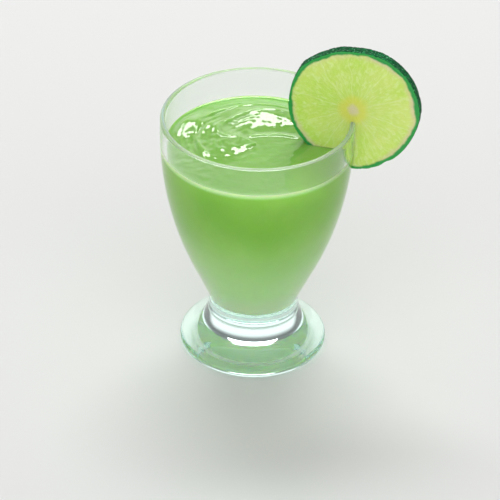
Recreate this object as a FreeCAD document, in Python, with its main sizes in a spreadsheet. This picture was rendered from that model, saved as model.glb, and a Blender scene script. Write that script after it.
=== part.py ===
"""A creamy green smoothie in a small footed glass, with a slice of lime on the rim.

Frame: millimetres, +Z up. The origin is the middle of the flat ring that the foot stands on.
+X points to the lime slice, and -Y is the side that the cut face of the slice looks to.
"""
import FreeCAD, Part
import math
import os

import Sketcher

V = FreeCAD.Vector

# ---------------------------------------------------------------- driving dimensions
# Lengths in mm, angles in degrees. Radii of the glass are from its axis, heights from the table.
DIMENSIONS = {
    # glass, outside
    "rim_height": 98.0,
    "belly_radius": 35.2,        # widest outside radius of the bowl
    "belly_drop": 6.5,           # that widest place below the rim
    "side_bend": 28.6,           # drop from there to where the straight run would have that radius
    "neck_radius": 16.8,         # narrowest place, where the bowl meets the stem
    "neck_height": 19.5,
    "neck_round": 10.0,          # radius of the neck's hollow round
    "stem_flare": 0.5,           # how far the stem leans out towards the foot
    "foot_radius": 27.4,
    "foot_edge": 1.9,            # radius of the foot's rounded edge
    "foot_slope": 27.0,          # fall of the foot's upper side
    "foot_round": 15.0,          # radius of the hollow round between stem and foot
    "bearing_width": 4.7,        # flat ring that stands on the table
    "punt_depth": 0.8,           # hollow under the foot
    # glass, inside
    "wall": 1.9,                 # glass at the widest place
    "inside_lift": 1.8,          # the inside's widest place above the outside's
    "inside_bend": 32.0,         # the same drop as side_bend, on the inside
    "floor_lift": 0.8,           # inside floor above the neck
    "floor_wall": 1.3,           # inside floor's rounded corner within the neck's radius
    "floor_corner": 5.0,         # radius of that corner
    # smoothie
    "fill_gap": 11.9,            # smoothie's edge below the lip
    "fold_height": 0.9,          # folds of the surface above and below that level
    "fold_pitch": 10.0,          # from one fold to the next
    "fold_shift": 5.0,           # middle of the swirl, off the glass's axis towards +X
    "fold_margin": 5.0,          # band along the wall where the folds die out
    # lime slice
    "lime_radius": 23.9,
    "lime_thickness": 4.3,
    "lime_unevenness": 0.35,     # how far the outline leaves a true circle
    "lime_rise": 4.9,            # middle of the slice above the lip
    "lime_offset": 0.4,          # middle of the slice outside the middle of the lip
    "lime_turn": 12.2,           # how far its face turns from -Y towards -X
    "lime_lean": 2.4,            # how far its face leans up
    "slit_gap": 0.05,            # room between the slit and the glass wall
}

doc = FreeCAD.newDocument("smoothie_glass")
sheet = doc.addObject("Spreadsheet::Sheet", "Dims")
for row, (name, value) in enumerate(DIMENSIONS.items(), start=1):
    sheet.set(f"A{row}", name)
    sheet.set(f"B{row}", str(value))
    sheet.setAlias(f"B{row}", name)
doc.recompute()


# What follows from the driving dimensions, in cells of the same sheet.
DERIVED = {
    "belly_height": "=rim_height - belly_drop",
    "mouth_radius": "=belly_radius - wall",
    "mouth_height": "=belly_height + inside_lift",
    "bearing_radius": "=foot_radius - foot_edge - bearing_width",
    "floor_height": "=neck_height + floor_lift",
    "floor_radius": "=neck_radius - floor_wall",
    # The bowl's side is an arc, upright at its widest place, over a straight run. The run's line
    # has the widest radius at the bend's drop, and it touches the round at its lower end, which
    # is the neck's on the outside and the floor corner's on the inside.
    "side_across": "=belly_radius - neck_radius - neck_round",
    "side_down": "=belly_height - side_bend - neck_height",
    "side_lean": "=atan(side_across / side_down)"
                 " + asin(neck_round / sqrt(side_across ^ 2 + side_down ^ 2))",
    "side_curve": "=side_bend / tan(side_lean / 2)",
    "inside_across": "=mouth_radius - floor_radius + floor_corner",
    "inside_down": "=mouth_height - inside_bend - floor_height - floor_corner",
    "inside_lean": "=atan(inside_across / inside_down)"
                   " - asin(floor_corner / sqrt(inside_across ^ 2 + inside_down ^ 2))",
    "inside_curve": "=inside_bend / tan(inside_lean / 2)",
    "fill_height": "=rim_height - fill_gap",
    "lime_height": "=rim_height + lime_rise",
    "lime_reach": "=belly_radius - wall / 2 + lime_offset",
}
for row, (name, formula) in enumerate(DERIVED.items(), start=len(DIMENSIONS) + 1):
    sheet.set(f"A{row}", name)
    sheet.set(f"B{row}", formula)
    sheet.setAlias(f"B{row}", name)
doc.recompute()


def dim(name):
    """One dimension, read from the sheet."""
    return float(getattr(sheet, name))


# ---------------------------------------------------------------- profiles turned round the axis
START, END, CENTRE = 1, 2, 3     # the points of a sketch element
ORIGIN = (-1, START)
AXIS = -2                        # the sketch's vertical axis, which is the glass's own
TABLE = -1                       # the sketch's horizontal axis, at the height of the table


class TurnedProfile:
    """A closed half-section in a body's XZ plane, turned once round Z.

    Elements are drafted near their place. The rules and sizes then put them exactly.
    """

    def __init__(self, name):
        self.body = doc.addObject("PartDesign::Body", name)
        self.sketch = self.body.newObject("Sketcher::SketchObject", f"{name}_profile")
        plane = [f for f in self.body.Origin.OriginFeatures if f.Role == "XZ_Plane"][0]
        self.sketch.AttachmentSupport = [(plane, "")]
        self.sketch.MapMode = "FlatFace"

    def line(self, start, end):
        return self.sketch.addGeometry(Part.LineSegment(V(*start, 0), V(*end, 0)))

    def arc(self, centre, radius, from_angle, to_angle):
        """An arc drawn counter-clockwise between two angles in degrees."""
        circle = Part.Circle(V(*centre, 0), V(0, 0, 1), radius)
        angles = math.radians(from_angle), math.radians(to_angle)
        return self.sketch.addGeometry(Part.ArcOfCircle(circle, *angles))

    def point(self, element, which):
        place = self.sketch.getPoint(element, which)
        return place.x, place.y

    def rule(self, kind, *items):
        return self.sketch.addConstraint(Sketcher.Constraint(kind, *items))

    def size(self, kind, items, drafted, formula):
        """A dimension that follows a formula of the sheet's cells."""
        index = self.rule(kind, *items, drafted)
        self.sketch.setExpression(f"Constraints[{index}]", formula)

    def height(self, element, which, formula):
        self.size("DistanceY", (*ORIGIN, element, which), self.point(element, which)[1], formula)

    def reach(self, element, which, formula):
        """Distance from the axis."""
        self.size("DistanceX", (*ORIGIN, element, which), self.point(element, which)[0], formula)

    def bend(self, arc, formula):
        self.size("Radius", (arc,), self.sketch.Geometry[arc].Radius, formula)

    def slope(self, line, formula):
        """A line's angle from level."""
        start = self.point(line, START)
        end = self.point(line, END)
        drafted = math.atan2(end[1] - start[1], end[0] - start[0])
        self.size("Angle", (line,), drafted, formula)

    def turn(self):
        turned = self.body.newObject("PartDesign::Revolution", f"{self.body.Name}_turned")
        turned.Profile = self.sketch
        turned.ReferenceAxis = (self.sketch, ["V_Axis"])
        turned.Angle = 360
        self.body.Tip = turned
        return self.body


def neck_centre():
    return dim("neck_radius") + dim("neck_round"), dim("neck_height")


def corner_centre():
    return dim("floor_radius") - dim("floor_corner"), dim("floor_height") + dim("floor_corner")


def draw_side(profile, side, widest, level, top_height, gap):
    """The arc of the bowl's side or inside: upright at its widest place, leaning at its foot."""
    radius = dim(f"{side}_curve")
    centre = (dim(widest) - radius, dim(level))
    top_angle = math.degrees(math.asin((top_height - dim(level)) / radius))
    arc = profile.arc(centre, radius, -dim(f"{side}_lean"), top_angle)
    place = profile.sketch.addGeometry(Part.Point(V(dim(widest), dim(level), 0)), True)
    profile.rule("PointOnObject", place, START, arc)
    profile.rule("Horizontal", place, START, arc, CENTRE)
    profile.bend(arc, f"Dims.{side}_curve{gap}")
    profile.reach(place, START, f"Dims.{widest}{gap}")
    profile.height(arc, CENTRE, f"Dims.{level}")
    return arc


def draw_outer_side(profile, top_height, gap=""):
    return draw_side(profile, "side", "belly_radius", "belly_height", top_height, gap)


def draw_inner_side(profile, top_height, gap=""):
    return draw_side(profile, "inside", "mouth_radius", "mouth_height", top_height, gap)


def draw_lip(profile, outer_arc, inner_arc, gap=""):
    """The round lip that joins outside and inside, its top at the rim's height plus a gap."""
    outer = profile.point(outer_arc, END)
    inner = profile.point(inner_arc, END)
    radius = (outer[0] - inner[0]) / 2
    centre = (inner[0] + radius, outer[1])
    lip = profile.arc(centre, radius, 0, 180)
    profile.rule("Tangent", outer_arc, END, lip, START)
    profile.rule("Tangent", lip, END, inner_arc, END)
    top = profile.sketch.addGeometry(Part.Point(V(centre[0], centre[1] + radius, 0)), True)
    profile.rule("PointOnObject", top, START, lip)
    profile.rule("Vertical", top, START, lip, CENTRE)
    profile.height(top, START, f"Dims.rim_height{gap}")


def draw_floor(profile, inner_arc):
    """The floor of the bowl, its round corner and the straight run up to the inside's arc."""
    centre = corner_centre()
    floor_line = profile.line((0, dim("floor_height")), (centre[0], dim("floor_height")))
    corner_arc = profile.arc(centre, dim("floor_corner"), -90, -dim("inside_lean"))
    run = profile.line(profile.point(corner_arc, END), profile.point(inner_arc, START))
    profile.rule("PointOnObject", floor_line, START, AXIS)
    profile.rule("Horizontal", floor_line)
    profile.rule("Tangent", floor_line, END, corner_arc, START)
    profile.rule("Tangent", corner_arc, END, run, START)
    profile.rule("Tangent", run, END, inner_arc, START)
    profile.height(floor_line, START, "Dims.floor_height")
    profile.bend(corner_arc, "Dims.floor_corner")
    profile.reach(corner_arc, CENTRE, "Dims.floor_radius - Dims.floor_corner")
    return floor_line


def foot_round_centre(edge_centre):
    """Middle of the hollow round that touches both the stem's side and the foot's top."""
    flare = math.radians(dim("stem_flare"))
    slope = math.radians(dim("foot_slope"))
    stem_side = (math.cos(flare), math.sin(flare))
    foot_top = (math.sin(slope), math.cos(slope))
    neck = neck_centre()
    from_stem = stem_side[0] * neck[0] + stem_side[1] * neck[1] - dim("neck_round")
    from_top = foot_top[0] * edge_centre[0] + foot_top[1] * edge_centre[1] + dim("foot_edge")
    from_stem += dim("foot_round")
    from_top += dim("foot_round")
    scale = stem_side[0] * foot_top[1] - stem_side[1] * foot_top[0]
    return ((from_stem * foot_top[1] - from_top * stem_side[1]) / scale,
            (from_top * stem_side[0] - from_stem * foot_top[0]) / scale)


def draw_foot(profile):
    """Hollow underside, flat ring, rounded edge, sloping top, and the round up to the stem."""
    edge = dim("foot_edge")
    slope = dim("foot_slope")
    bearing = dim("bearing_radius")
    punt_curve = (bearing ** 2 + dim("punt_depth") ** 2) / (2 * dim("punt_depth"))
    punt_angle = math.degrees(math.asin(bearing / punt_curve))
    punt = profile.arc((0, dim("punt_depth") - punt_curve), punt_curve, 90 - punt_angle, 90)
    edge_centre = (dim("foot_radius") - edge, edge)
    ring = profile.line((bearing, 0), (edge_centre[0], 0))
    edge_arc = profile.arc(edge_centre, edge, -90, 90 - slope)
    round_centre = foot_round_centre(edge_centre)
    round_arc = profile.arc(round_centre, dim("foot_round"), 180 + dim("stem_flare"), 270 - slope)
    top_line = profile.line(profile.point(edge_arc, END), profile.point(round_arc, END))

    profile.rule("PointOnObject", punt, CENTRE, AXIS)
    profile.rule("PointOnObject", punt, END, AXIS)
    profile.rule("Coincident", punt, START, ring, START)
    profile.rule("PointOnObject", ring, START, TABLE)
    profile.rule("Horizontal", ring)
    profile.rule("Tangent", ring, END, edge_arc, START)
    profile.rule("Tangent", edge_arc, END, top_line, START)
    profile.rule("Tangent", top_line, END, round_arc, END)
    profile.height(punt, END, "Dims.punt_depth")
    profile.reach(ring, START, "Dims.bearing_radius")
    profile.reach(edge_arc, CENTRE, "Dims.foot_radius - Dims.foot_edge")
    profile.bend(edge_arc, "Dims.foot_edge")
    profile.slope(top_line, "(180 - Dims.foot_slope) * 1 deg")
    profile.bend(round_arc, "Dims.foot_round")
    return punt, round_arc


def draw_stem(profile, round_arc, outer_arc):
    """The flared stem, the hollow neck and the straight run up to the bowl's arc."""
    flare = dim("stem_flare")
    lean = dim("side_lean")
    neck_arc = profile.arc(neck_centre(), dim("neck_round"), 180 - lean, 180 + flare)
    stem = profile.line(profile.point(round_arc, START), profile.point(neck_arc, END))
    run = profile.line(profile.point(neck_arc, START), profile.point(outer_arc, START))
    profile.rule("Tangent", round_arc, START, stem, START)
    profile.rule("Tangent", stem, END, neck_arc, END)
    profile.rule("Tangent", neck_arc, START, run, START)
    profile.rule("Tangent", run, END, outer_arc, START)
    profile.slope(stem, "(90 + Dims.stem_flare) * 1 deg")
    profile.reach(neck_arc, CENTRE, "Dims.neck_radius + Dims.neck_round")
    profile.height(neck_arc, CENTRE, "Dims.neck_height")
    profile.bend(neck_arc, "Dims.neck_round")


# ---------------------------------------------------------------- glass
def make_glass():
    """One piece of clear glass: a tulip bowl, a short thick stem and a solid foot."""
    profile = TurnedProfile("glass_body")
    lip_base = dim("rim_height") - dim("wall") / 2
    outer_arc = draw_outer_side(profile, lip_base)
    inner_arc = draw_inner_side(profile, lip_base)
    draw_lip(profile, outer_arc, inner_arc)
    floor_line = draw_floor(profile, inner_arc)
    punt, round_arc = draw_foot(profile)
    draw_stem(profile, round_arc, outer_arc)
    middle = profile.line((0, dim("floor_height")), (0, dim("punt_depth")))
    profile.rule("Coincident", floor_line, START, middle, START)
    profile.rule("Coincident", middle, END, punt, END)
    return profile.turn()


# ---------------------------------------------------------------- lime slice
def lime_outline():
    """The rind's outline round the slice's middle: a circle with three low bulges."""
    points = []
    steps = 36
    for step in range(steps):
        angle = 2 * math.pi * step / steps
        bulge = math.cos(3 * angle - math.radians(103)) + 0.45 * math.cos(5 * angle + math.radians(60))
        radius = dim("lime_radius") + dim("lime_unevenness") * bulge
        points.append(V(radius * math.cos(angle), 0, radius * math.sin(angle)))
    curve = Part.BSplineCurve()
    curve.interpolate(Points=points, PeriodicFlag=True)
    return Part.Wire(curve.toShape())


def make_lime_blank():
    """The slice before it is slit: outline in XZ, its middle at the origin, faces along Y."""
    disc = Part.Face(lime_outline()).extrude(V(0, dim("lime_thickness"), 0))
    disc.translate(V(0, -dim("lime_thickness") / 2, 0))
    blank = doc.addObject("Part::Feature", "lime_blank")
    blank.Shape = disc
    blank.setExpression("Placement.Base.x", "Dims.lime_reach")
    blank.setExpression("Placement.Base.z", "Dims.lime_height")
    turn = FreeCAD.Rotation(V(0, 0, 1), -dim("lime_turn"))
    lean = FreeCAD.Rotation(V(1, 0, 0), -dim("lime_lean"))
    blank.Placement.Rotation = turn.multiply(lean)
    return blank


def make_slit():
    """The room that the glass's lip and wall take up in the slice, with a gap all round."""
    profile = TurnedProfile("slit_body")
    lip_base = dim("rim_height") - dim("wall") / 2
    outer_arc = draw_outer_side(profile, lip_base, " + Dims.slit_gap")
    inner_arc = draw_inner_side(profile, lip_base, " - Dims.slit_gap")
    draw_lip(profile, outer_arc, inner_arc, " + Dims.slit_gap")
    bottom = profile.line(profile.point(inner_arc, START), profile.point(outer_arc, START))
    profile.rule("Coincident", bottom, START, inner_arc, START)
    profile.rule("Coincident", bottom, END, outer_arc, START)
    profile.rule("Horizontal", bottom)
    profile.height(bottom, START, "Dims.lime_height - 1.2 * Dims.lime_radius")
    return profile.turn()


def cut(name, base, tool):
    result = doc.addObject("Part::Cut", name)
    result.Base = base
    result.Tool = tool
    result.Refine = False        # these free-form faces meet no others that they could join
    return result


# ---------------------------------------------------------------- smoothie
def fold(x, y):
    """Height of the spiral fold over the level, dying out at the middle and along the wall."""
    dx = x - dim("fold_shift")
    distance = math.hypot(dx, y)
    angle = math.atan2(y, dx)
    middle_fade = 1 - math.exp(-(distance / (0.5 * dim("fold_pitch"))) ** 2)
    room = (dim("mouth_radius") - math.hypot(x, y)) / dim("fold_margin")
    wall_fade = min(max(room, 0.0), 1.0)
    wave = math.cos(2 * math.pi * distance / dim("fold_pitch") - angle)
    return dim("fold_height") * wave * middle_fade * wall_fade ** 2 * (3 - 2 * wall_fade)


def make_air():
    """The space over the smoothie's surface, cut from the filled bowl."""
    reach = dim("belly_radius") + 1
    level = dim("fill_height")
    steps = 36
    grid = []
    for column in range(steps + 1):
        x = reach * (2 * column / steps - 1)
        ys = [reach * (2 * line / steps - 1) for line in range(steps + 1)]
        grid.append([V(x, y, level + fold(x, y)) for y in ys])
    surface = Part.BSplineSurface()
    surface.interpolate(grid)
    air = doc.addObject("Part::Feature", "air_over_smoothie")
    air.Shape = surface.toShape().extrude(V(0, 0, 4 * dim("fold_height") + dim("fill_gap")))
    return air


def make_filled_bowl():
    """Everything inside the bowl up to the highest fold."""
    profile = TurnedProfile("filled_bowl")
    top = dim("fill_height") + 2 * dim("fold_height")
    inner_arc = draw_inner_side(profile, top)
    floor_line = draw_floor(profile, inner_arc)
    top_line = profile.line(profile.point(inner_arc, END), (0, top))
    middle = profile.line((0, top), (0, dim("floor_height")))
    profile.rule("Coincident", inner_arc, END, top_line, START)
    profile.rule("Horizontal", top_line)
    profile.rule("Coincident", top_line, END, middle, START)
    profile.rule("Coincident", middle, END, floor_line, START)
    profile.rule("PointOnObject", top_line, END, AXIS)
    profile.height(inner_arc, END, "Dims.fill_height + 2 * Dims.fold_height")
    return profile.turn()


# ---------------------------------------------------------------- the three pieces
glass = make_glass()
lime_slice = cut("slit_slice", make_lime_blank(), make_slit())
poured = cut("poured_smoothie", make_filled_bowl(), make_air())
smoothie = cut("smoothie_round_slice", poured, lime_slice)

pieces = {"glass": glass, "lime_slice": lime_slice, "smoothie": smoothie}
for label, piece in pieces.items():
    piece.Label = label
doc.recompute()

for item in doc.Objects:
    if "Invalid" in item.State or "Error" in item.State:
        raise RuntimeError(f"{item.Name} failed: {item.State}")
for label, piece in pieces.items():
    if piece.Shape.isNull() or not piece.Shape.isValid():
        raise RuntimeError(f"{label} has no valid shape")
    if len(piece.Shape.Solids) != 1:
        raise RuntimeError(f"{label} has {len(piece.Shape.Solids)} solids")

os.makedirs("parts", exist_ok=True)
for label, piece in pieces.items():
    piece.Shape.exportStep(f"parts/{label}.step")
    print(label, round(piece.Shape.Volume), "mm3")
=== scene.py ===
import math

import bmesh
import bpy
import numpy as np
from mathutils import Matrix, Vector, noise


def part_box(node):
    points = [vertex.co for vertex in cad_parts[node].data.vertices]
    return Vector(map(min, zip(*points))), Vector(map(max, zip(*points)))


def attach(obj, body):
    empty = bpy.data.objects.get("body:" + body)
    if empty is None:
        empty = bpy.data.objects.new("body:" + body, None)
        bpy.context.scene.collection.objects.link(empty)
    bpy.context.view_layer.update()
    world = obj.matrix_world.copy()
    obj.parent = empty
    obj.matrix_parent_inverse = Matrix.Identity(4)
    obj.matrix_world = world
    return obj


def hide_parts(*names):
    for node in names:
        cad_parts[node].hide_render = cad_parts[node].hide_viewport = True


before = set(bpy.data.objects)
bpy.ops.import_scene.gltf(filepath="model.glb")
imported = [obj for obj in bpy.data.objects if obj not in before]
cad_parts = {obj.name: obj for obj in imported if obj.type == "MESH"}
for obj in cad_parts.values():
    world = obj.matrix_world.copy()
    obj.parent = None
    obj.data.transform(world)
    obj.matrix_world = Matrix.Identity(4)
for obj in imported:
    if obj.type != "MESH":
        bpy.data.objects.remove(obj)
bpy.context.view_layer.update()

# ---------------------------------------------------------------- sizes
# Lengths in millimetres, as in the CAD. MM turns them into Blender's metres.
MM = 0.001


def box_in_mm(node):
    """Lowest and highest corner of a CAD piece's box."""
    low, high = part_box(node)
    return Vector(low) / MM, Vector(high) / MM


_, glass_high = box_in_mm("glass")

BELLY_RADIUS = glass_high.x
RIM_HEIGHT = glass_high.z

# glass, outside
BELLY_HEIGHT = RIM_HEIGHT - 6.5
SIDE_BEND = 28.6             # drop from the belly to where the straight side would have its radius
NECK_RADIUS = 16.8
NECK_HEIGHT = 19.5
NECK_ROUND = 10.0
STEM_FLARE = math.radians(0.5)
FOOT_RADIUS = 27.4
FOOT_EDGE = 1.9
FOOT_SLOPE = math.radians(27.0)
FOOT_ROUND = 15.0
BEARING_RADIUS = FOOT_RADIUS - FOOT_EDGE - 4.7
PUNT_DEPTH = 0.8

# glass, inside
WALL = 1.9
MOUTH_RADIUS = BELLY_RADIUS - WALL
MOUTH_HEIGHT = BELLY_HEIGHT + 1.8
INSIDE_BEND = 32.0
FLOOR_HEIGHT = NECK_HEIGHT + 0.8
FLOOR_RADIUS = NECK_RADIUS - 1.3
FLOOR_CORNER = 5.0

# smoothie
LEVEL = RIM_HEIGHT - 11.9
WALL_OVERLAP = 0.08          # how far the smoothie reaches into the glass, so that no air shows
CLIMB_HEIGHT = 0.45          # raised edge where the drink wets the wall, and how fast it falls off
CLIMB_WIDTH = 0.6

# lime slice
LIME_RADIUS = 23.9
LIME_THICKNESS = 4.3
LIME_UNEVENNESS = 0.35
THREE_LOBES = 103            # phases of the outline's three and five bulges, in degrees
FIVE_LOBES = 60
FIVE_SHARE = 0.45            # size of the five bulges beside the three
RIND_DEPTH = 1.8             # the peel's look starts this far inside LIME_RADIUS
EDGE_SOFTNESS = 0.35         # round between the cut face and the peel
# The slice's middle, turn and lean are fitted to its outline in the photograph.
LIME_PLACE = Vector((BELLY_RADIUS - WALL / 2 + 0.4, 0, RIM_HEIGHT + 4.9))
LIME_TURN = math.radians(12.2)
LIME_LEAN = math.radians(2.4)
SLIT_GAP = 0.05
PORE_DEPTH = 0.28            # rind: pores, how far from their middles they reach, and small waves
PORE_REACH = 0.5
SKIN_INSET = 0.01
WAVE_DEPTH = 0.10
WAVE_TURNS = 0.6             # scale of the waves' noise, per millimetre
RIND_FACING = 0.75           # a face that looks more along the slice's axis is cut flesh

# columns round the axis of each piece, and rows over the poured surface
GLASS_COLUMNS = 288
SMOOTHIE_COLUMNS = 440
SURFACE_ROWS = 132
LIME_COLUMNS = 540
SLIT_COLUMNS = 360

# relief of the poured surface
RELIEF_FADE = (32.5, 29.0)   # distances from the axis between which the relief sets in
SWELLS = (                   # middle, half-widths, turn in degrees, height
    ((3, 20), (12, 6), -4, 1.8),
    ((-24.5, 12.5), (7.5, 5.5), 20, 1.9),
)
ARCS = (                     # two directions in degrees, reach at each, width, height
    ((60, 150), (26.5, 26.0), 0.9, 0.45),
    ((66, 150), (23.5, 16.5), 1.0, 0.5),
    ((150, 205), (24.5, 19.0), 0.8, 0.35),
)
MOUND_HEIGHT = 0.8
CREST_HEIGHT = 0.45
MARK_HEIGHT = 0.035
MARK_SPACING = 2.3
CURL_MIDDLE = (-9.6, 9.5)
CURL_ARC = ((60, 290), (5.8, 5.2), 0.9, 0.42)
RIPPLE_COUNT = 40
RIPPLE_LENGTHS = (5.5, 1.5)  # longest and shortest
RIPPLE_HEIGHT = 0.07
RIPPLE_CALM = 0.72           # share of the ripples' height that is taken off in calm places

# corners, flats and dents of the rind's outline: direction in degrees, half-width, change of radius
DENTS = (
    (143, 7, 0.32), (124, 12, -0.35), (106, 6, 0.12), (88, 9, -0.12), (50, 14, -0.15),
    (5, 7, 0.15), (-20, 12, -0.25), (-46, 7, 0.12), (-57, 4, -0.40), (-75, 10, 0.05),
    (-125, 12, -0.2), (170, 10, -0.15),
)

# ---------------------------------------------------------------- colours
# Linear red, green and blue.
GLASS_BODY = (0.985, 1.0, 0.99)
GLASS_SHADOW = (0.79, 0.90, 0.84)
GLASS_TINT = (0.42, 0.93, 0.86)
SURFACE_GREENS = ((0.22, 0.50, 0.075), (0.27, 0.555, 0.115))
UPPER_GREENS = ((0.31, 0.65, 0.06), (0.40, 0.73, 0.105))
# the drink's side lower down and at its base: paler, painted light from below
LOWER_GREENS_PAINTED_LIGHT = ((0.64, 0.92, 0.46), (0.70, 0.94, 0.53))
DRINK_BASE_PAINTED_LIGHT = (0.76, 0.99, 0.60)
# pale band just under the level: painted highlight
LEVEL_PAINTED_HIGHLIGHT = (0.78, 0.96, 0.64)
FLESH_DEEP = (0.60, 0.81, 0.13)
FLESH_PALE = (0.72, 0.84, 0.23)
FLESH_STREAK = (0.82, 0.93, 0.44)
MEMBRANE = (0.84, 0.92, 0.48)
CORE_HALO = (0.80, 0.80, 0.10)
CORE = (0.82, 0.76, 0.50)
PITH = (0.76, 0.66, 0.46)
RIND_RING = (0.022, 0.36, 0.07)
PEEL_DEEP = (0.004, 0.18, 0.045)
PEEL_PALE = (0.012, 0.30, 0.08)
PEEL_PORE = (0.001, 0.06, 0.02)
PEEL_SPECK = (0.22, 0.60, 0.34)
FLOOR_GREY = (0.80, 0.80, 0.79)

# ---------------------------------------------------------------- levels of the looks
# The lip's paler look is a painted highlight, a match in brightness: the photograph shows no such
# band. These are the depths under the rim between which it sets in, its share of white, and its
# roughness.
LIP_DEPTHS = (1.1, 0.3)
LIP_PAINTED_HIGHLIGHT = 0.3
LIP_ROUGHNESS = 0.12
GLASS_DENSITY = 7.0
DRINK_INDEX = 1.38
DRINK_SCATTER = dict(
    Subsurface_Weight=1.0, Subsurface_Radius=(0.7, 1.0, 0.35), Subsurface_Scale=0.0035)
# Heights in millimetres between which the drink's side turns from one green to the next, paler
# lower down and at the base: painted light from below.
LOWER_LIGHT_FADE = (74, 26)
BASE_LIGHT_FADE = (34, 20.5)
# depths under the level between which the painted highlight sets in, and its share
LEVEL_HIGHLIGHT_DEPTHS = (2.0, 0.3)
LEVEL_HIGHLIGHT_SHARE = 0.7
MEMBRANE_PAIRS = 5.0

# studio: levels of the room's light, where 1 shows a colour as it is written
FRONT_LIGHT = 1.6
SIDE_LIGHT = 0.25
WINDOW_LIGHT = 1.5
TOP_LIGHT = 0.95


# ---------------------------------------------------------------- profiles turned round the axis
def arc(centre, radius, start, end, steps):
    """Points along an arc between two angles in radians, both ends included."""
    angles = np.linspace(start, end, steps + 1)
    return np.stack([centre[0] + radius * np.cos(angles), centre[1] + radius * np.sin(angles)], 1)


def between(start, end, steps):
    """Points inside a straight run, without its ends."""
    shares = np.linspace(0, 1, steps + 1)[1:-1, None]
    return np.asarray(start) * (1 - shares) + np.asarray(end) * shares


def side_arc(widest, level, bend, low_centre, low_radius):
    """Lean and radius of the bowl's side: upright at the widest place, over a straight run.

    The run's line touches the round at its lower end, whose radius is negative where the round
    lies inside the line.
    """
    across = widest - low_centre[0]
    down = level - bend - low_centre[1]
    lean = math.atan(across / down) + math.asin(low_radius / math.hypot(across, down))
    return lean, bend / math.tan(lean / 2)


NECK_CENTRE = (NECK_RADIUS + NECK_ROUND, NECK_HEIGHT)
CORNER_CENTRE = (FLOOR_RADIUS - FLOOR_CORNER, FLOOR_HEIGHT + FLOOR_CORNER)
SIDE_LEAN, SIDE_CURVE = side_arc(BELLY_RADIUS, BELLY_HEIGHT, SIDE_BEND, NECK_CENTRE, NECK_ROUND)
INSIDE_LEAN, INSIDE_CURVE = side_arc(
    MOUTH_RADIUS, MOUTH_HEIGHT, INSIDE_BEND, CORNER_CENTRE, -FLOOR_CORNER)
SIDE_CENTRE = (BELLY_RADIUS - SIDE_CURVE, BELLY_HEIGHT)
INSIDE_CENTRE = (MOUTH_RADIUS - INSIDE_CURVE, MOUTH_HEIGHT)
LIP_HEIGHT = RIM_HEIGHT - WALL / 2


def height_angle(height, centre, radius):
    """Angle at which an arc reaches a height."""
    return math.asin((height - centre[1]) / radius)


def inside_profile(gap, top_height):
    """The bowl's inside from the middle of its floor up to a height, moved outwards by a gap."""
    corner = arc(CORNER_CENTRE, FLOOR_CORNER + gap, -math.pi / 2, -INSIDE_LEAN, 16)
    top_angle = height_angle(top_height, INSIDE_CENTRE, INSIDE_CURVE + gap)
    side = arc(INSIDE_CENTRE, INSIDE_CURVE + gap, -INSIDE_LEAN, top_angle, 48)
    floor = between((0, FLOOR_HEIGHT - gap), corner[0], 12)
    run = between(corner[-1], side[0], 12)
    return np.concatenate([[(0, FLOOR_HEIGHT - gap)], floor, corner, run, side])


def lip_profile(inner, outer):
    """Half a round from the inner wall's top to the outer wall's."""
    radius = (outer[0] - inner[0]) / 2
    return arc(((inner[0] + outer[0]) / 2, inner[1]), radius, math.pi, 0, 24)[1:-1]


def outside_profile(gap, top_height):
    """The bowl's outside from a height down to the straight side's upper end."""
    top_angle = height_angle(top_height, SIDE_CENTRE, SIDE_CURVE + gap)
    return arc(SIDE_CENTRE, SIDE_CURVE + gap, top_angle, -SIDE_LEAN, 48)


def foot_round_centre():
    """Middle of the hollow round that touches both the stem's side and the foot's top."""
    stem_side = (math.cos(STEM_FLARE), math.sin(STEM_FLARE))
    foot_top = (math.sin(FOOT_SLOPE), math.cos(FOOT_SLOPE))
    edge = (FOOT_RADIUS - FOOT_EDGE, FOOT_EDGE)
    from_stem = np.dot(stem_side, NECK_CENTRE) - NECK_ROUND + FOOT_ROUND
    from_top = np.dot(foot_top, edge) + FOOT_EDGE + FOOT_ROUND
    return np.linalg.solve([stem_side, foot_top], [from_stem, from_top])


def foot_profile():
    """From the neck down the stem, over the foot and its edge, to the middle of the hollow."""
    neck = arc(NECK_CENTRE, NECK_ROUND, math.pi - SIDE_LEAN, math.pi + STEM_FLARE, 24)
    turned = foot_round_centre()
    hollow = arc(turned, FOOT_ROUND, math.pi + STEM_FLARE, 1.5 * math.pi - FOOT_SLOPE, 16)
    edge_centre = (FOOT_RADIUS - FOOT_EDGE, FOOT_EDGE)
    edge = arc(edge_centre, FOOT_EDGE, math.pi / 2 - FOOT_SLOPE, -math.pi / 2, 18)
    punt_curve = (BEARING_RADIUS ** 2 + PUNT_DEPTH ** 2) / (2 * PUNT_DEPTH)
    punt_angle = math.asin(BEARING_RADIUS / punt_curve)
    punt_centre = (0, PUNT_DEPTH - punt_curve)
    punt = arc(punt_centre, punt_curve, math.pi / 2 - punt_angle, math.pi / 2, 28)
    stem = between(neck[-1], hollow[0], 6)
    top = between(hollow[-1], edge[0], 8)
    ring = between(edge[-1], punt[0], 6)
    return np.concatenate([neck, stem, hollow, top, edge, ring, punt])


def glass_profile():
    """The glass's whole outline, from the middle of its floor to the middle of its hollow foot."""
    inside = inside_profile(0, LIP_HEIGHT)
    outside = outside_profile(0, LIP_HEIGHT)
    foot = foot_profile()
    run = between(outside[-1], foot[0], 12)
    return np.concatenate([inside, lip_profile(inside[-1], outside[0]), outside, run, foot])


# ---------------------------------------------------------------- meshes
def mesh_object(name, points, faces):
    """A new object from points in millimetres. Its faces are shaded smooth."""
    mesh = bpy.data.meshes.new(name)
    mesh.from_pydata((np.asarray(points) * MM).tolist(), [], faces)
    mesh.validate()
    mesh.shade_smooth()
    piece = bpy.data.objects.new(name, mesh)
    bpy.context.scene.collection.objects.link(piece)
    return piece


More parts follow.
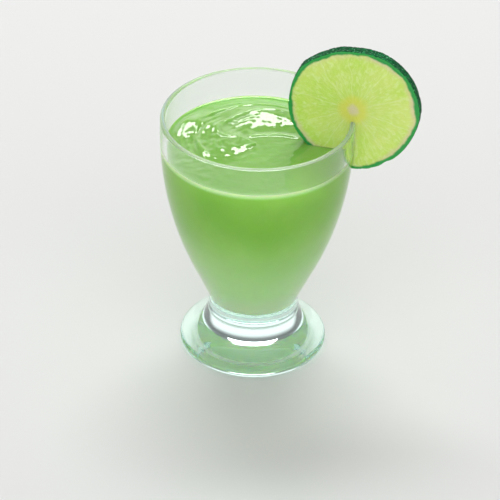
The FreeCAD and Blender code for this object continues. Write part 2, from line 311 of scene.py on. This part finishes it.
def ring_faces(rows, columns, closed=False):
    """Quads between rows of points that run once round. Closed joins the last row to the first."""
    faces = []
    for row in range(rows if closed else rows - 1):
        low = row * columns
        high = (row + 1) % rows * columns
        for column in range(columns):
            after = (column + 1) % columns
            faces.append((low + column, low + after, high + after, high + column))
    return faces


def cap_faces(first, columns, middle, flip):
    """Triangles from one row to a single middle point."""
    faces = []
    for column in range(columns):
        after = (column + 1) % columns
        pair = (first + after, first + column) if flip else (first + column, first + after)
        faces.append((*pair, middle))
    return faces


def turned(profile, columns):
    """Points of a profile turned round Z, row by row."""
    angles = np.linspace(0, 2 * math.pi, columns, endpoint=False)
    reach = profile[:, 0, None]
    height = np.repeat(profile[:, 1, None], columns, 1)
    return np.stack([reach * np.cos(angles), reach * np.sin(angles), height], 2).reshape(-1, 3)


def turned_solid(name, profile, columns):
    """A closed solid of a profile whose two ends lie on the axis, its outside to its right."""
    ends = [(0, 0, profile[0, 1]), (0, 0, profile[-1, 1])]
    points = np.concatenate([turned(profile[1:-1], columns), ends])
    rows = len(profile) - 2
    faces = ring_faces(rows, columns)
    faces += cap_faces(0, columns, rows * columns, True)
    faces += cap_faces((rows - 1) * columns, columns, rows * columns + 1, False)
    return mesh_object(name, points, faces)


def turn_normals_out(piece):
    """Makes the faces of a closed piece look outwards."""
    shape = bmesh.new()
    shape.from_mesh(piece.data)
    bmesh.ops.recalc_face_normals(shape, faces=shape.faces)
    shape.to_mesh(piece.data)
    shape.free()


# ---------------------------------------------------------------- materials
class Look:
    """Nodes of a material or a world. Each call adds a node and gives back its output."""

    def __init__(self, owner, output="OutputMaterial"):
        owner.use_nodes = True
        self.owner = owner
        self.tree = owner.node_tree
        self.tree.nodes.clear()
        self.output = self.node(output)

    def node(self, kind, **settings):
        made = self.tree.nodes.new("ShaderNode" + kind)
        for key, value in settings.items():
            setattr(made, key, value)
        return made

    def put(self, socket, value):
        """Links a socket to another node's output, or sets its own value."""
        if isinstance(value, bpy.types.NodeSocket):
            self.tree.links.new(value, socket)
        elif socket.type == "RGBA" and len(value) == 3:
            socket.default_value = (*value, 1)
        else:
            socket.default_value = value

    def math(self, operation, *values):
        made = self.node("Math", operation=operation)
        for socket, value in zip(made.inputs, values):
            self.put(socket, value)
        return made.outputs[0]

    def blend(self, share, first, second):
        """A colour between two, by a share from 0 to 1."""
        made = self.node("Mix", data_type="RGBA")
        self.put(made.inputs["Factor"], share)
        self.put(made.inputs[6], first)
        self.put(made.inputs[7], second)
        return made.outputs[2]

    def ramp(self, value, low, high, to_low=0.0, to_high=1.0):
        """A value moved smoothly from one range to another."""
        made = self.node("MapRange", interpolation_type="SMOOTHSTEP")
        for index, item in enumerate((value, low, high, to_low, to_high)):
            self.put(made.inputs[index], item)
        return made.outputs[0]

    def length(self, first, second):
        """Length of two coordinates at right angles."""
        squares = [self.math("MULTIPLY", value, value) for value in (first, second)]
        return self.math("SQRT", self.math("ADD", *squares))

    def vector(self, x, y, z):
        made = self.node("CombineXYZ")
        for socket, value in zip(made.inputs, (x, y, z)):
            self.put(socket, value)
        return made.outputs[0]

    def place(self, kind="Object"):
        """Coordinates of a kind, and the same split in three."""
        coordinates = self.node("TexCoord").outputs[kind]
        split = self.node("SeparateXYZ")
        self.put(split.inputs[0], coordinates)
        return coordinates, split.outputs[0], split.outputs[1], split.outputs[2]

    def grain(self, vector, scale, detail=2.0, roughness=0.5, distortion=0.0):
        made = self.node("TexNoise")
        self.put(made.inputs["Vector"], vector)
        self.put(made.inputs["Scale"], scale)
        self.put(made.inputs["Detail"], detail)
        self.put(made.inputs["Roughness"], roughness)
        self.put(made.inputs["Distortion"], distortion)
        return made.outputs[0]

    def cells(self, vector, scale):
        """Distance from the nearest of many scattered points."""
        made = self.node("TexVoronoi", feature="F1")
        self.put(made.inputs["Vector"], vector)
        self.put(made.inputs["Scale"], scale)
        return made.outputs["Distance"]

    def bump(self, height, distance, strength=1.0):
        made = self.node("Bump")
        self.put(made.inputs["Height"], height)
        self.put(made.inputs["Distance"], distance)
        self.put(made.inputs["Strength"], strength)
        return made.outputs[0]

    def principled(self, **inputs):
        made = self.node("BsdfPrincipled")
        for key, value in inputs.items():
            self.put(made.inputs[key.replace("_", " ")], value)
        return made.outputs[0]

    def finish(self, shader, volume=None):
        self.put(self.output.inputs["Surface"], shader)
        if volume is not None:
            self.put(self.output.inputs["Volume"], volume)
        return self.owner


def new_look(name):
    """An empty look on a new material."""
    return Look(bpy.data.materials.new(name))


def glass_look():
    """Clear pressed glass with a faint green cast and a paler lip, a painted highlight. Lamps shine
    through it.
    """
    look = new_look("clear_glass")
    place, _, _, height = look.place()
    # band under the rim: rougher, and paler by a painted highlight
    lip = look.ramp(height, (RIM_HEIGHT - LIP_DEPTHS[0]) * MM, (RIM_HEIGHT - LIP_DEPTHS[1]) * MM)
    waves = look.grain(place, 55.0, detail=1.0)
    smears = look.grain(place, 160.0, detail=3.0)
    clear = look.principled(
        Base_Color=GLASS_BODY, IOR=1.5,
        Transmission_Weight=look.math("MULTIPLY_ADD", lip, -LIP_PAINTED_HIGHLIGHT, 1.0),
        Roughness=look.math(
            "MULTIPLY_ADD", lip, LIP_ROUGHNESS, look.ramp(smears, 0.55, 0.8, 0.0, 0.03)),
        Normal=look.bump(waves, 0.0002, 0.25))
    path = look.node("LightPath").outputs["Is Shadow Ray"]
    through = look.node("BsdfTransparent")
    look.put(through.inputs[0], GLASS_SHADOW)
    mixed = look.node("MixShader")
    look.put(mixed.inputs[0], path)
    look.put(mixed.inputs[1], clear)
    look.put(mixed.inputs[2], through.outputs[0])
    tint = look.node("VolumeAbsorption")
    look.put(tint.inputs["Color"], GLASS_TINT)
    look.put(tint.inputs["Density"], GLASS_DENSITY)
    return look.finish(mixed.outputs[0], tint.outputs[0])


def smoothie_clouds(look, deep, pale):
    """Two greens mixed in soft clouds, as in a blended drink."""
    place, _, _, _ = look.place()
    clouds = look.grain(place, 38.0, detail=3.0)
    specks = look.grain(place, 900.0, detail=2.0)
    share = look.math("ADD", look.ramp(clouds, 0.3, 0.75), look.ramp(specks, 0.62, 0.75, 0.0, 0.5))
    return look.blend(share, deep, pale)


def surface_look():
    """The poured surface: wet, glossy and soft."""
    look = new_look("smoothie")
    place, _, _, _ = look.place()
    fine = look.grain(place, 700.0, detail=2.0)
    return look.finish(look.principled(
        Base_Color=smoothie_clouds(look, *SURFACE_GREENS),
        Roughness=0.6, IOR=DRINK_INDEX, Specular_IOR_Level=0.0, **DRINK_SCATTER,
        Coat_Weight=1.0, Coat_Roughness=0.05, Coat_IOR=1.75,
        Normal=look.bump(fine, 0.0001, 0.5)))


def filled_look():
    """The smoothie against the glass, where it has no gloss of its own. The wall darkens it.

    Its greens turn paler lower down and at the base, painted light from below, and a pale band
    just under the level is a painted highlight.
    """
    look = new_look("smoothie_in_glass")
    _, _, _, height = look.place()
    upper = smoothie_clouds(look, *UPPER_GREENS)
    lower = smoothie_clouds(look, *LOWER_GREENS_PAINTED_LIGHT)
    # paler lower down and at the base: painted light from below
    colour = look.blend(look.ramp(height, LOWER_LIGHT_FADE[0] * MM, LOWER_LIGHT_FADE[1] * MM), upper, lower)
    colour = look.blend(
        look.ramp(height, BASE_LIGHT_FADE[0] * MM, BASE_LIGHT_FADE[1] * MM), colour, DRINK_BASE_PAINTED_LIGHT)
    # pale band just under the level: painted highlight
    line = look.ramp(
        height, (LEVEL - LEVEL_HIGHLIGHT_DEPTHS[0]) * MM, (LEVEL - LEVEL_HIGHLIGHT_DEPTHS[1]) * MM, 0.0, LEVEL_HIGHLIGHT_SHARE)
    return look.finish(look.principled(
        Base_Color=look.blend(line, colour, LEVEL_PAINTED_HIGHLIGHT),
        Roughness=0.9, IOR=DRINK_INDEX, Specular_IOR_Level=0.0, **DRINK_SCATTER))


def lime_look():
    """The cut faces: rind, pith, flesh in segments and a pale core, by distance from the middle."""
    look = new_look("lime")
    place, x, _, z = look.place()
    reach = look.math("MULTIPLY", look.length(x, z), 1 / MM)
    angle = look.math("ARCTAN2", z, x)
    three = look.math("COSINE", look.math(
        "SUBTRACT", look.math("MULTIPLY", angle, 3.0), math.radians(THREE_LOBES)))
    five = look.math("COSINE", look.math(
        "ADD", look.math("MULTIPLY", angle, 5.0), math.radians(FIVE_LOBES)))
    bulge = look.math("MULTIPLY_ADD", five, FIVE_SHARE, three)
    edge = look.math("MULTIPLY_ADD", bulge, LIME_UNEVENNESS, LIME_RADIUS)
    depth = look.math("SUBTRACT", edge, reach)
    across = look.math("COSINE", angle)
    along = look.math("SINE", angle)

    wide = look.grain(place, 260.0, detail=2.0)
    patches = look.grain(place, 75.0, detail=2.0)
    rays = look.vector(look.math("MULTIPLY", across, 7.0), look.math("MULTIPLY", along, 7.0),
                       look.math("MULTIPLY", reach, 0.22))
    streaks = look.grain(rays, 2.2, detail=3.0, roughness=0.55, distortion=0.6)
    flesh = look.blend(look.ramp(patches, 0.3, 0.7), FLESH_DEEP, FLESH_PALE)
    flesh = look.blend(look.ramp(streaks, 0.42, 0.75, 0.0, 0.6), flesh, FLESH_STREAK)
    wander = look.math("MULTIPLY", patches, 2.4)
    membranes = look.math("ABSOLUTE", look.math(
        "SINE", look.math("MULTIPLY_ADD", angle, MEMBRANE_PAIRS, wander)))
    thin = look.math("MULTIPLY", membranes, reach)
    flesh = look.blend(look.ramp(thin, 0.4, 2.2, 0.32, 0.0), flesh, MEMBRANE)

    halo = look.math("MULTIPLY_ADD", wide, 2.6, reach)
    flesh = look.blend(look.ramp(halo, 4.6, 8.2, 0.75, 0.0), flesh, CORE_HALO)
    flesh = look.blend(look.ramp(halo, 2.4, 4.2, 0.9, 0.0), flesh, CORE)

    ragged = look.math("MULTIPLY_ADD", wide, 2.0, look.math("SUBTRACT", depth, 1.0))
    uneven = look.ramp(look.grain(place, 50.0, detail=1.0), 0.38, 0.62, 0.15, 0.85)
    pith_share = look.math("MULTIPLY", look.ramp(ragged, 1.5, 3.8, 0.95, 0.0), uneven)
    pith = look.blend(pith_share, flesh, PITH)
    colour = look.blend(look.ramp(ragged, 1.1, 1.9, 1.0, 0.0), pith, RIND_RING)
    return look.finish(look.principled(
        Base_Color=colour, Roughness=0.36, IOR=1.37,
        Subsurface_Weight=0.8, Subsurface_Radius=(0.9, 1.0, 0.3), Subsurface_Scale=0.003,
        Coat_Weight=0.35, Coat_Roughness=0.12,
        Normal=look.bump(streaks, 0.0006, 0.7)))


def rind_look():
    """Dark green peel with darker pores and pale specks."""
    look = new_look("lime_rind")
    place, _, _, _ = look.place()
    pores = look.cells(place, 800.0)
    clouds = look.grain(place, 120.0, detail=2.0)
    skin = look.blend(look.ramp(clouds, 0.35, 0.65), PEEL_DEEP, PEEL_PALE)
    skin = look.blend(look.ramp(pores, 0.15, 0.5, 0.0, 0.8), skin, PEEL_PORE)
    specks = look.ramp(look.grain(place, 1300.0), 0.60, 0.70, 0.0, 0.75)
    skin = look.blend(specks, skin, PEEL_SPECK)
    return look.finish(look.principled(
        Base_Color=skin, Roughness=0.55, IOR=1.4, Specular_IOR_Level=0.12,
        Normal=look.bump(pores, 0.0006, 0.8)))


# ---------------------------------------------------------------- glass
def make_glass():
    piece = turned_solid("glass_looks", glass_profile(), GLASS_COLUMNS)
    turn_normals_out(piece)
    piece.data.materials.append(glass_look())
    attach(piece, "root")
    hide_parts("glass")


# ---------------------------------------------------------------- smoothie
def rise(value, low, high):
    """0 up to low, 1 from high on, and smooth between."""
    share = np.clip((value - low) / (high - low), 0, 1)
    return share * share * (3 - 2 * share)


def ridge(reach, angle, ends, reaches, width, height):
    """A rounded ridge along a spiral between two angles in degrees, fading at both ends."""
    share = (angle - ends[0]) / (ends[1] - ends[0])
    middle = reaches[0] + (reaches[1] - reaches[0]) * share
    fade = rise(share, -0.15, 0.2) * rise(-share, -1.15, -0.8)
    return height * fade * np.exp(-((reach - middle) / width) ** 2)


def swell(x, y, middle, size, turn, height):
    """A rounded swell with half-widths along and across a direction, turned in degrees."""
    turn = math.radians(turn)
    along = (x - middle[0]) * math.cos(turn) + (y - middle[1]) * math.sin(turn)
    across = (y - middle[1]) * math.cos(turn) - (x - middle[0]) * math.sin(turn)
    return height * np.exp(-(along / size[0]) ** 2 - (across / size[1]) ** 2)


def ripples(x, y, waves, longest, shortest, height, seed):
    """Many small waves of mixed lengths and directions, added up."""
    draw = np.random.default_rng(seed)
    total = np.zeros_like(x)
    for _ in range(waves):
        length = draw.uniform(shortest, longest)
        turn = draw.uniform(0, math.pi)
        start = draw.uniform(0, 2 * math.pi)
        phase = 2 * math.pi * (x * math.cos(turn) + y * math.sin(turn)) / length + start
        total += length / longest * np.sin(phase)
    return height * total / math.sqrt(waves)


def surface(x, y):
    """Height of the poured surface over its level."""
    reach = np.hypot(x, y)
    angle = np.degrees(np.arctan2(y, x)) % 360
    inner = rise(-reach, -RELIEF_FADE[0], -RELIEF_FADE[1])
    # broad swells that carry the large glints
    height = sum(swell(x, y, *values) for values in SWELLS)
    # thin arcs along the back and left
    height = height + sum(ridge(reach, angle, *values) for values in ARCS)
    # edge of the mound in front of them
    mound = rise(-reach, -22.6, -20.8) * rise(angle, 125, 150) * rise(-angle, -235, -195)
    height = height + MOUND_HEIGHT * mound
    # nearly straight crest that runs towards the slice
    crest = np.exp(-((y - 7 + 0.02 * (x - 6) ** 2) / 1.0) ** 2)
    height = height + CREST_HEIGHT * crest * rise(x, -6, 0) * rise(-x, -17, -12)
    # faint marks of stirring round the middle, on the back and left
    marks = np.sin(2 * math.pi * reach / MARK_SPACING + 0.05 * angle)
    marks = marks * (1 + np.sin(0.11 * angle + 0.5 * reach))
    marked = rise(reach, 2, 7) * rise(angle, 75, 110) * rise(-angle, -215, -180)
    height = height + MARK_HEIGHT * marks * marked
    # open curl left of the middle, calm inside
    curl_x, curl_y = x - CURL_MIDDLE[0], y - CURL_MIDDLE[1]
    curl_reach = np.hypot(curl_x, curl_y)
    curl_angle = np.degrees(np.arctan2(curl_y, curl_x)) % 360
    height = height + ridge(curl_reach, curl_angle, *CURL_ARC)
    calm = np.maximum(rise(x - y, -12, 14), rise(-curl_reach, -5.5, -4))
    small = ripples(x, y, RIPPLE_COUNT, *RIPPLE_LENGTHS, RIPPLE_HEIGHT, seed=3)
    height = height + small * (1 - RIPPLE_CALM * calm)
    climb = CLIMB_HEIGHT * np.exp(-(MOUTH_RADIUS - reach) / CLIMB_WIDTH)
    return height * inner + climb


def make_smoothie():
    """The filled bowl: side and floor just inside the glass, and the poured surface on top."""
    rim = inside_profile(WALL_OVERLAP, LEVEL)
    reach = rim[-1, 0]
    crowding = 0.85          # under 1, rows lie closer together towards the wall
    shares = np.linspace(1, 0, SURFACE_ROWS)[1:-1]
    top_rows = np.stack([reach * shares ** crowding, np.full(len(shares), LEVEL)], 1)
    profile = np.concatenate([rim, top_rows, [(0, LEVEL)]])
    piece = turned_solid("smoothie_looks", profile, SMOOTHIE_COLUMNS)
    count = len(piece.data.vertices)
    points = np.empty(count * 3)
    piece.data.vertices.foreach_get("co", points)
    points = points.reshape(-1, 3)
    tolerance = 0.001
    top = points[:, 2] > (LEVEL - tolerance) * MM
    x, y = points[top, 0] / MM, points[top, 1] / MM
    points[top, 2] += surface(x, y) * MM
    piece.data.vertices.foreach_set("co", points.ravel())
    turn_normals_out(piece)
    piece.data.materials.append(surface_look())
    piece.data.materials.append(filled_look())
    for face in piece.data.polygons:
        face.material_index = 0 if all(top[corner] for corner in face.vertices) else 1
    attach(piece, "root")
    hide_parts("smoothie")


# ---------------------------------------------------------------- lime slice
def dent(angle, middle, width, depth):
    """A smooth change of radius round one direction, in degrees."""
    away = (np.degrees(angle) - middle + 180) % 360 - 180
    return depth * np.exp(-(away / width) ** 2)


def lime_edge(angle):
    """Radius of the rind's outline, with its corners, flats and small dents."""
    bulge = np.cos(3 * angle - math.radians(THREE_LOBES))
    bulge = bulge + FIVE_SHARE * np.cos(5 * angle + math.radians(FIVE_LOBES))
    edge = LIME_RADIUS + LIME_UNEVENNESS * bulge
    return edge + sum(dent(angle, *values) for values in DENTS)


def lime_points():
    """Rows of points from the middle of the front face, over the rind, to the back's."""
    columns = LIME_COLUMNS
    angles = np.linspace(0, 2 * math.pi, columns, endpoint=False)
    edge = lime_edge(angles)
    soft = EDGE_SOFTNESS
    half = LIME_THICKNESS / 2
    face_rows = 45
    round_rows = 5
    rind_rows = 18
    rows = []
    for share in np.linspace(0, 1, face_rows + 1)[1:]:
        rows.append((share * (edge - soft), np.full(columns, -half)))
    for turn in np.linspace(0, math.pi / 2, round_rows + 1)[1:]:
        across = -half + soft - soft * math.cos(turn)
        rows.append((edge - soft + soft * math.sin(turn), np.full(columns, across)))
    for across in np.linspace(-half + soft, half - soft, rind_rows + 2)[1:-1]:
        rows.append((edge, np.full(columns, across)))
    front = rows[:face_rows + round_rows]
    for reach, across in reversed(front):
        rows.append((reach, -across))
    points = [np.stack([reach * np.cos(angles), across, reach * np.sin(angles)], 1)
              for reach, across in rows]
    return np.concatenate(points), len(rows), columns


def lime_slab():
    """The whole slice, with pores and small waves in the rind."""
    points, rows, columns = lime_points()
    middles = [(0, -LIME_THICKNESS / 2, 0), (0, LIME_THICKNESS / 2, 0)]
    for index, (px, py, pz) in enumerate(points):
        outer = math.hypot(px, pz) > LIME_RADIUS - 1.0
        if outer:
            pits = noise.voronoi(Vector((px, py, pz)))[0][0]
            pore = max(0.0, PORE_REACH - pits) / PORE_REACH
            waves = noise.noise(Vector((px, py, pz)) * WAVE_TURNS)
            inset = PORE_DEPTH * pore + SKIN_INSET + WAVE_DEPTH * waves
            shrink = 1 - inset / LIME_RADIUS
            points[index] = (px * shrink, py, pz * shrink)
    faces = ring_faces(rows, columns)
    faces += cap_faces(0, columns, rows * columns, True)
    faces += cap_faces((rows - 1) * columns, columns, rows * columns + 1, False)
    return mesh_object("lime_slice_looks", np.concatenate([points, middles]), faces)


def slit_tool():
    """The glass wall's own shape with a gap all round, down past the slice's lower edge."""
    inner = inside_profile(-SLIT_GAP, LIP_HEIGHT)
    outer = outside_profile(SLIT_GAP, LIP_HEIGHT)
    foot = LIME_PLACE.z - 1.2 * LIME_RADIUS
    inner = inner[inner[:, 1] > foot]
    outer = outer[outer[:, 1] > foot]
    loop = np.concatenate([inner, lip_profile(inner[-1], outer[0]), outer])
    faces = ring_faces(len(loop), SLIT_COLUMNS, closed=True)
    return mesh_object("slit", turned(loop, SLIT_COLUMNS), faces)


def make_lime():
    piece = lime_slab()
    turn_normals_out(piece)
    turn = Matrix.Rotation(-LIME_TURN, 4, "Z") @ Matrix.Rotation(-LIME_LEAN, 4, "X")
    piece.matrix_world = Matrix.Translation(LIME_PLACE * MM) @ turn
    tool = slit_tool()
    turn_normals_out(tool)
    cutter = piece.modifiers.new("slit", "BOOLEAN")
    cutter.operation = "DIFFERENCE"
    cutter.solver = "MANIFOLD"
    cutter.object = tool
    bpy.context.view_layer.update()
    shaped = piece.evaluated_get(bpy.context.evaluated_depsgraph_get())
    piece.data = bpy.data.meshes.new_from_object(shaped)
    piece.modifiers.clear()
    bpy.data.objects.remove(tool)
    piece.data.materials.clear()
    piece.data.materials.append(lime_look())
    piece.data.materials.append(rind_look())
    for face in piece.data.polygons:
        outer = math.hypot(face.center.x, face.center.z) > (LIME_RADIUS - RIND_DEPTH) * MM
        face.material_index = 1 if outer and abs(face.normal.y) < RIND_FACING else 0
    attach(piece, "root")
    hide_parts("lime_slice")


# ---------------------------------------------------------------- studio
def make_floor():
    size = 3000
    drop = -0.05             # just under the foot's ring, so that the two share no plane
    corners = [(-size, -size, drop), (size, -size, drop), (size, size, drop), (-size, size, drop)]
    floor = mesh_object("floor", corners, [(0, 1, 2, 3)])
    look = new_look("floor")
    paint = look.principled(Base_Color=FLOOR_GREY, Roughness=0.6)
    floor.data.materials.append(look.finish(paint))


def area_lamp(name, azimuth, elevation, distance, width, height, power):
    """A soft rectangular lamp that looks at the middle of the glass. Azimuth 0 is in front."""
    light = bpy.data.lights.new(name, "AREA")
    light.shape = "RECTANGLE"
    light.size = width
    light.size_y = height
    light.energy = power
    lamp = bpy.data.objects.new(name, light)
    bpy.context.scene.collection.objects.link(lamp)
    turn = math.radians(azimuth)
    lift = math.radians(elevation)
    level = math.cos(lift)
    away = Vector((math.sin(turn) * level, -math.cos(turn) * level, math.sin(lift)))
    lamp.location = Vector((0, 0, RIM_HEIGHT * 0.6 * MM)) + away * distance
    lamp.rotation_euler = away.to_track_quat("Z", "Y").to_euler()


def make_world():
    """A pale room: bright in front, dim at the sides, lit from above and open at the back.

    The limits are parts of a direction of length 1.
    """
    world = bpy.data.worlds.new("studio")
    bpy.context.scene.world = world
    look = Look(world, "OutputWorld")
    _, x, y, z = look.place("Generated")
    level = look.math("MAXIMUM", look.length(x, y), 0.001)
    towards_back = look.math("DIVIDE", y, level)
    around = look.ramp(towards_back, -0.9, -0.2, FRONT_LIGHT, SIDE_LIGHT)
    window = look.math(
        "MULTIPLY", look.ramp(towards_back, 0.70, 0.84), look.ramp(z, 0.40, 0.66, 1.0, 0.0))
    around = look.math("MULTIPLY_ADD", window, WINDOW_LIGHT - SIDE_LIGHT, around)
    overhead = look.ramp(z, 0.75, 0.95)
    light = look.math("MULTIPLY_ADD", overhead, look.math("SUBTRACT", TOP_LIGHT, around), around)
    background = look.node("Background")
    look.put(background.inputs["Strength"], light)
    look.finish(background.outputs[0])


def make_camera():
    """Seen from in front and above, as a guest at the table would, through a long lens."""
    camera = bpy.data.cameras.new("camera")
    camera.sensor_width = 36
    camera.lens = 193.7
    camera.clip_end = 10
    holder = bpy.data.objects.new("camera", camera)
    bpy.context.scene.collection.objects.link(holder)
    pitch = math.radians(34.885)
    roll = math.radians(1.265)
    distance = 1.0
    aim = Vector((-1.685, 0, 39.519)) * MM
    ahead = Vector((0, math.cos(pitch), -math.sin(pitch)))
    level = Vector((1, 0, 0))
    upright = Vector((0, math.sin(pitch), math.cos(pitch)))
    right = math.cos(roll) * level + math.sin(roll) * upright
    top = -math.sin(roll) * level + math.cos(roll) * upright
    axes = Matrix((right, top, -ahead)).transposed().to_4x4()
    holder.matrix_world = Matrix.Translation(aim - ahead * distance) @ axes
    bpy.context.scene.camera = holder


make_glass()
make_smoothie()
make_lime()
make_floor()
make_world()
make_camera()
area_lamp("back_window", azimuth=180, elevation=56, distance=1.6,
          width=1.1, height=0.38, power=11.5)

cycles = bpy.context.scene.cycles
cycles.max_bounces = 32
cycles.transmission_bounces = 32
cycles.glossy_bounces = 16
bpy.context.scene.view_settings.view_transform = "Standard"
